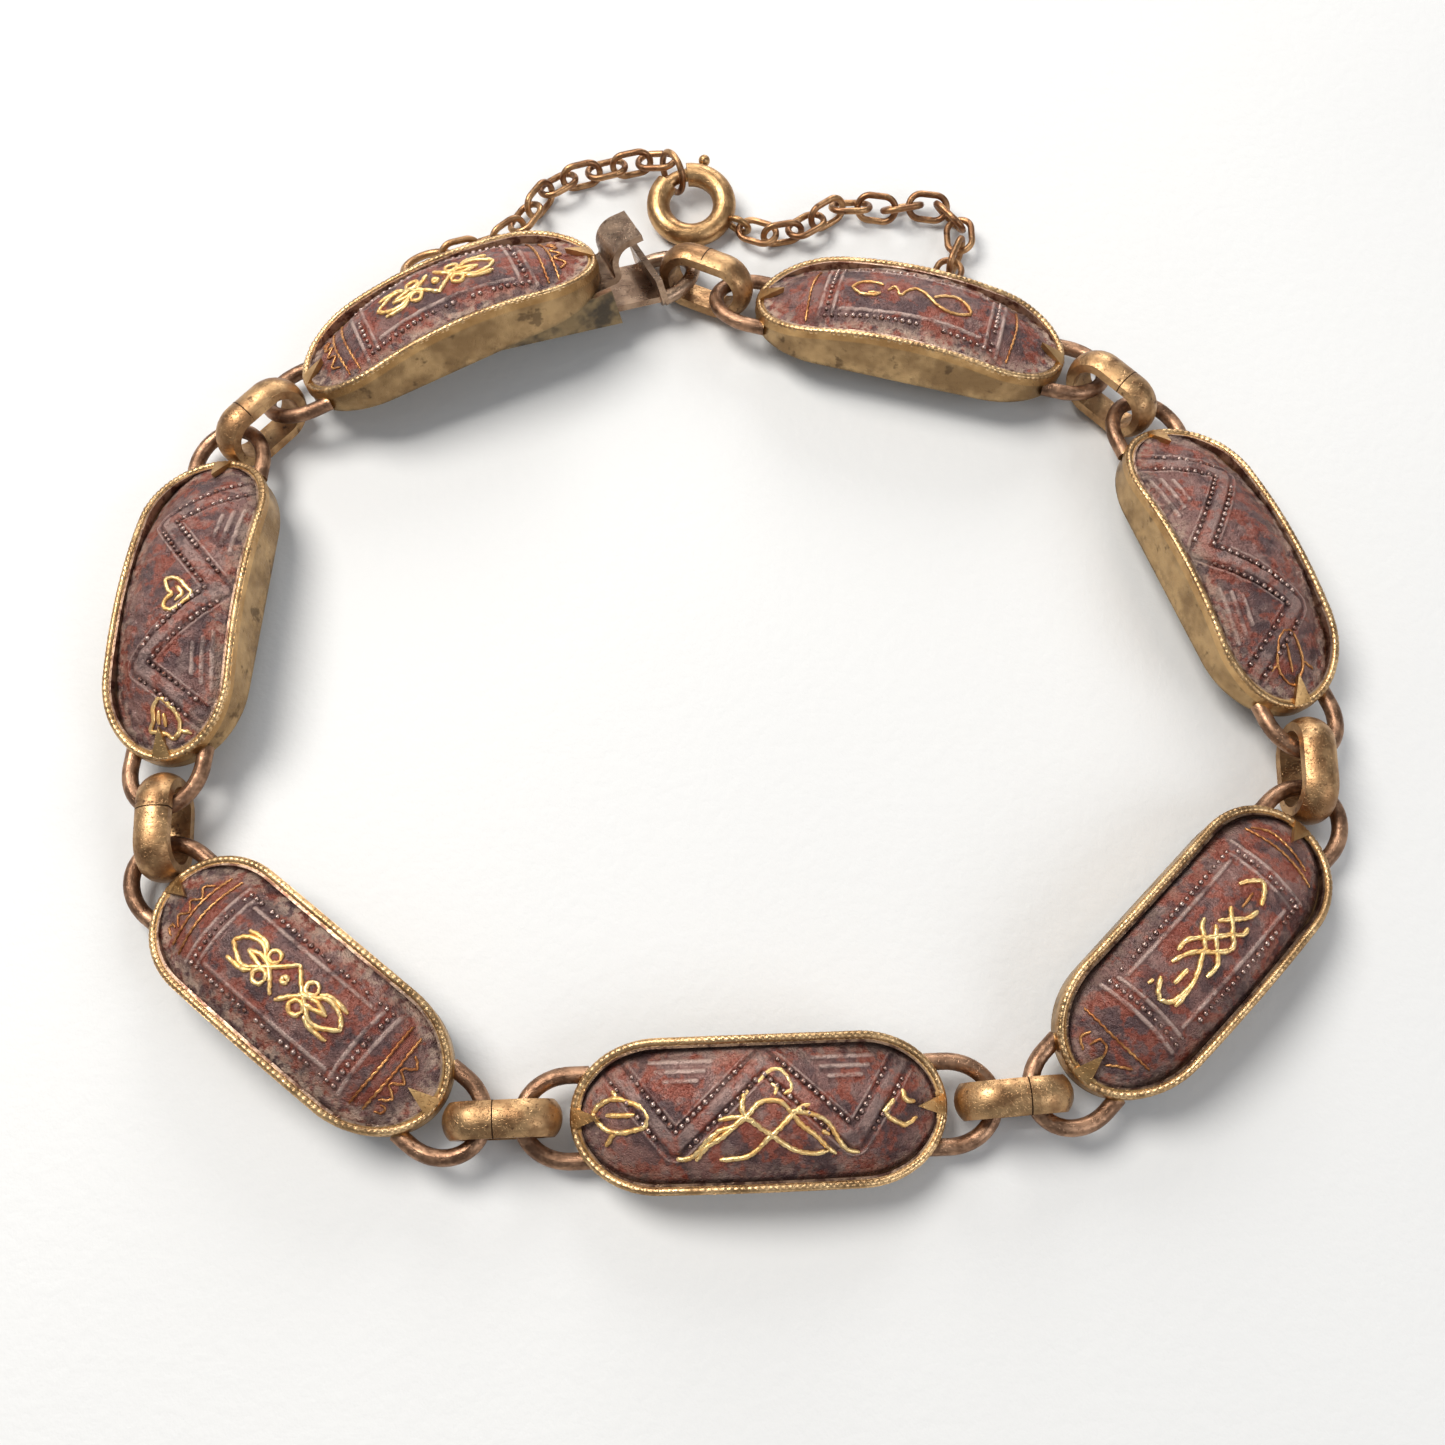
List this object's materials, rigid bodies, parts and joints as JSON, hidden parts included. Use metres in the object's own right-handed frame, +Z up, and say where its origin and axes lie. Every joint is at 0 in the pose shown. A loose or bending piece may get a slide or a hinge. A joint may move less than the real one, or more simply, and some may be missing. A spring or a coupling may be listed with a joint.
{
  "type": "link bracelet",
  "caption": "Link bracelet of oval brass trays with domed inlaid iron plaques, oval links, a folded snap tongue and a safety chain with a bolt ring, lying fastened.",
  "frame": {"origin": "centre of the fastened bracelet's outline on the surface it lies on", "axes": "+Z up from the surface, +X along the front tray to the right, +Y from the front tray towards the clasp"},
  "size_m": [0.0698, 0.0668, 0.0068],
  "materials": {
    "tray_brass": "satin",
    "iron": "matte",
    "gold": "satin",
    "link_brass": "satin",
    "clasp_brass": "satin",
    "chain_brass": "satin",
    "bolt_ring_brass": "satin"
  },
  "bodies": {
    "bracelet": {"setting_1": "tray_brass", "setting_2": "tray_brass", "setting_3": "tray_brass", "setting_4": "tray_brass", "setting_5": "tray_brass", "setting_6": "tray_brass", "setting_7": "tray_brass", "plaque_1": "iron", "plaque_2": "iron", "plaque_3": "iron", "plaque_4": "iron", "plaque_5": "iron", "plaque_6": "iron", "plaque_7": "iron", "inlay_1": "gold", "inlay_2": "gold", "inlay_3": "gold", "inlay_4": "gold", "inlay_5": "gold", "inlay_6": "gold", "inlay_7": "gold", "link_1": "link_brass", "link_2": "link_brass", "link_3": "link_brass", "link_4": "link_brass", "link_5": "link_brass", "link_6": "link_brass", "link_7": "link_brass", "clasp_tongue": "clasp_brass", "guard_ring": "chain_brass", "bolt_ring": "bolt_ring_brass", "safety_chain_left": "chain_brass", "safety_chain_right": "chain_brass"},
    "bolt": {"bolt": "bolt_ring_brass"}
  },
  "joints": [
    {"name": "bolt", "type": "hinge", "parent": "bracelet", "child": "bolt", "pos_m": [-0.00266, 0.02908, 0.00116], "axis": [0, 0.1736, -0.9848], "range_deg": [0, 46], "stiffness_Nm_per_rad": 0.0002, "springref_deg": -11.46}
  ]
}
